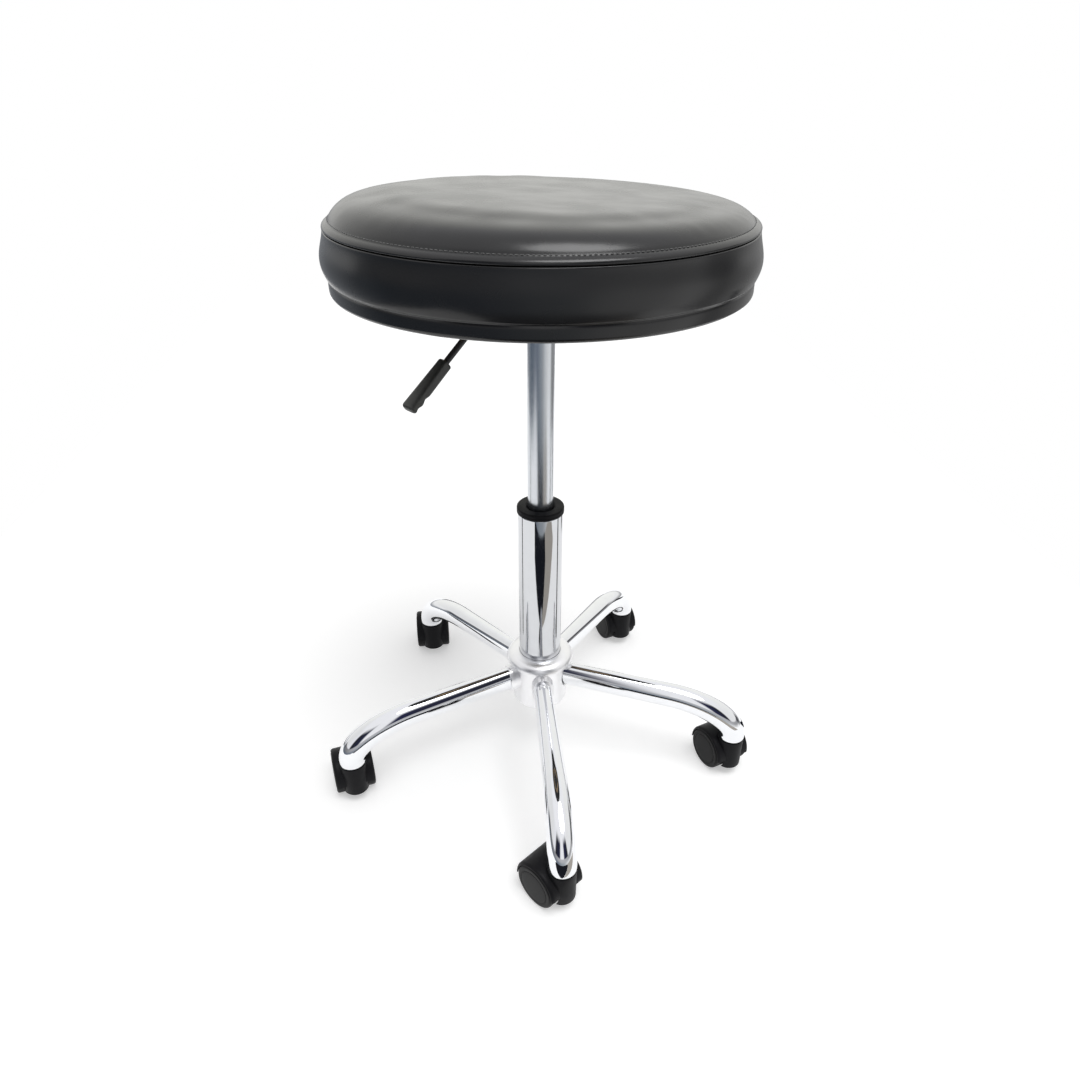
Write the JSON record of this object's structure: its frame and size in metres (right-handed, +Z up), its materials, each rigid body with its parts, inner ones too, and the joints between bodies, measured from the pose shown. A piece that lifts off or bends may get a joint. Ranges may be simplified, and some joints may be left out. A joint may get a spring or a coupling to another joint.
{
  "type": "rolling stool",
  "caption": "Round padded stool on a chromed gas-lift column with a height lever, on a chromed star base of bent tube legs with twin-wheel swivel casters.",
  "frame": {"origin": "on the floor, under the middle of the object's box; the column's axis stands at x = 0.0043, y = 0.0086", "axes": "+Z up, the first leg points along -Y, +X to the right of someone who looks along +Y"},
  "size_m": [0.5178, 0.5098, 0.6701],
  "materials": {
    "chrome": "polished chrome plate",
    "satin_chrome": "satin chrome plate",
    "steel": "zinc plated",
    "black_steel": "black powder coat",
    "black_plastic": "moulded, fine grain",
    "wheel_plastic": "moulded, matt",
    "rubber": "moulded",
    "vinyl": "glossy black vinyl with a fine grain",
    "foam": "open cell",
    "plywood": "raw",
    "dust_cloth": "non-woven"
  },
  "bodies": {
    "base": {"hub": "chrome", "leg_1": "chrome", "leg_2": "chrome", "leg_3": "chrome", "leg_4": "chrome", "leg_5": "chrome", "stem_socket_1": "black_plastic", "stem_socket_2": "black_plastic", "stem_socket_3": "black_plastic", "stem_socket_4": "black_plastic", "stem_socket_5": "black_plastic", "column": "chrome", "guide_bush": "black_plastic", "thrust_washer_lower": "steel"},
    "lift_rod": {"piston_rod": "steel", "piston": "steel", "thrust_bearing": "steel", "buffer": "rubber", "rod_clip": "steel"},
    "seat": {"gas_cylinder": "satin_chrome", "lever_housing": "black_steel", "mount_plate": "black_steel", "lever_pivot_pin": "steel", "plate_screw_1": "steel", "plate_screw_2": "steel", "plate_screw_3": "steel", "plate_screw_4": "steel", "seat_board": "plywood", "seat_foam": "foam", "seat_top_panel": "vinyl", "seat_side_band": "vinyl", "dust_cover": "dust_cloth"},
    "lever": {"lever_rod": "black_steel", "lever_grip": "black_plastic"},
    "release": {"release_pin": "steel"},
    "caster_1": {"caster_stem_1": "steel", "caster_hood_1": "black_plastic", "caster_axle_1": "steel"},
    "wheel_l1": {"wheel_left_1": "wheel_plastic"},
    "wheel_r1": {"wheel_right_1": "wheel_plastic"},
    "caster_2": {"caster_stem_2": "steel", "caster_hood_2": "black_plastic", "caster_axle_2": "steel"},
    "wheel_l2": {"wheel_left_2": "wheel_plastic"},
    "wheel_r2": {"wheel_right_2": "wheel_plastic"},
    "caster_3": {"caster_stem_3": "steel", "caster_hood_3": "black_plastic", "caster_axle_3": "steel"},
    "wheel_l3": {"wheel_left_3": "wheel_plastic"},
    "wheel_r3": {"wheel_right_3": "wheel_plastic"},
    "caster_4": {"caster_stem_4": "steel", "caster_hood_4": "black_plastic", "caster_axle_4": "steel"},
    "wheel_l4": {"wheel_left_4": "wheel_plastic"},
    "wheel_r4": {"wheel_right_4": "wheel_plastic"},
    "caster_5": {"caster_stem_5": "steel", "caster_hood_5": "black_plastic", "caster_axle_5": "steel"},
    "wheel_l5": {"wheel_left_5": "wheel_plastic"},
    "wheel_r5": {"wheel_right_5": "wheel_plastic"}
  },
  "joints": [
    {"name": "seat_swivel", "type": "hinge", "parent": "base", "child": "lift_rod", "pos_m": [0.00432, 0.00859, 0.3], "axis": [0, 0, 1], "continuous": true},
    {"name": "seat_lift", "type": "slide", "parent": "lift_rod", "child": "seat", "axis": [0, 0, 1], "range_m": [-0.165, 0]},
    {"name": "lever_pull", "type": "hinge", "parent": "seat", "child": "lever", "pos_m": [-0.01886, -0.01045, 0.57237], "axis": [-0.6347, 0.7727, 0], "range_deg": [0, 6], "stiffness_Nm_per_rad": 1.5},
    {"name": "release_press", "type": "slide", "parent": "seat", "child": "release", "axis": [0, 0, -1], "range_m": [0, 0.0034]},
    {"name": "caster_swivel_1", "type": "hinge", "parent": "base", "child": "caster_1", "pos_m": [0.00432, -0.23241, 0.06], "axis": [0, 0, 1], "continuous": true},
    {"name": "caster_swivel_2", "type": "hinge", "parent": "base", "child": "caster_2", "pos_m": [0.23353, -0.06588, 0.06], "axis": [0, 0, 1], "continuous": true},
    {"name": "caster_swivel_3", "type": "hinge", "parent": "base", "child": "caster_3", "pos_m": [0.14598, 0.20356, 0.06], "axis": [0, 0, 1], "continuous": true},
    {"name": "caster_swivel_4", "type": "hinge", "parent": "base", "child": "caster_4", "pos_m": [-0.13733, 0.20356, 0.06], "axis": [0, 0, 1], "continuous": true},
    {"name": "caster_swivel_5", "type": "hinge", "parent": "base", "child": "caster_5", "pos_m": [-0.22488, -0.06588, 0.06], "axis": [0, 0, 1], "continuous": true},
    {"name": "wheel_left_spin_1", "type": "hinge", "parent": "caster_1", "child": "wheel_l1", "pos_m": [-0.00686, -0.2183, 0.025], "axis": [-0.7837, -0.6211, 0], "continuous": true},
    {"name": "wheel_right_spin_1", "type": "hinge", "parent": "caster_1", "child": "wheel_r1", "pos_m": [-0.00686, -0.2183, 0.025], "axis": [-0.7837, -0.6211, 0], "continuous": true},
    {"name": "wheel_left_spin_2", "type": "hinge", "parent": "caster_2", "child": "wheel_l2", "pos_m": [0.22696, -0.04912, 0.025], "axis": [-0.9311, -0.3649, 0], "continuous": true},
    {"name": "wheel_right_spin_2", "type": "hinge", "parent": "caster_2", "child": "wheel_r2", "pos_m": [0.22696, -0.04912, 0.025], "axis": [-0.9311, -0.3649, 0], "continuous": true},
    {"name": "wheel_left_spin_3", "type": "hinge", "parent": "caster_3", "child": "wheel_l3", "pos_m": [0.14, 0.22054, 0.025], "axis": [-0.9432, -0.3322, 0], "continuous": true},
    {"name": "wheel_right_spin_3", "type": "hinge", "parent": "caster_3", "child": "wheel_r3", "pos_m": [0.14, 0.22054, 0.025], "axis": [-0.9432, -0.3322, 0], "continuous": true},
    {"name": "wheel_left_spin_4", "type": "hinge", "parent": "caster_4", "child": "wheel_l4", "pos_m": [-0.13809, 0.22155, 0.025], "axis": [-0.9991, -0.0419, 0], "continuous": true},
    {"name": "wheel_right_spin_4", "type": "hinge", "parent": "caster_4", "child": "wheel_r4", "pos_m": [-0.13809, 0.22155, 0.025], "axis": [-0.9991, -0.0419, 0], "continuous": true},
    {"name": "wheel_left_spin_5", "type": "hinge", "parent": "caster_5", "child": "wheel_l5", "pos_m": [-0.22936, -0.04845, 0.025], "axis": [-0.9686, -0.2487, 0], "continuous": true},
    {"name": "wheel_right_spin_5", "type": "hinge", "parent": "caster_5", "child": "wheel_r5", "pos_m": [-0.22936, -0.04845, 0.025], "axis": [-0.9686, -0.2487, 0], "continuous": true}
  ],
  "couplings": [
    {"joint": "release_press", "follows": "lever_pull", "m_per_rad": 0.032}
  ]
}
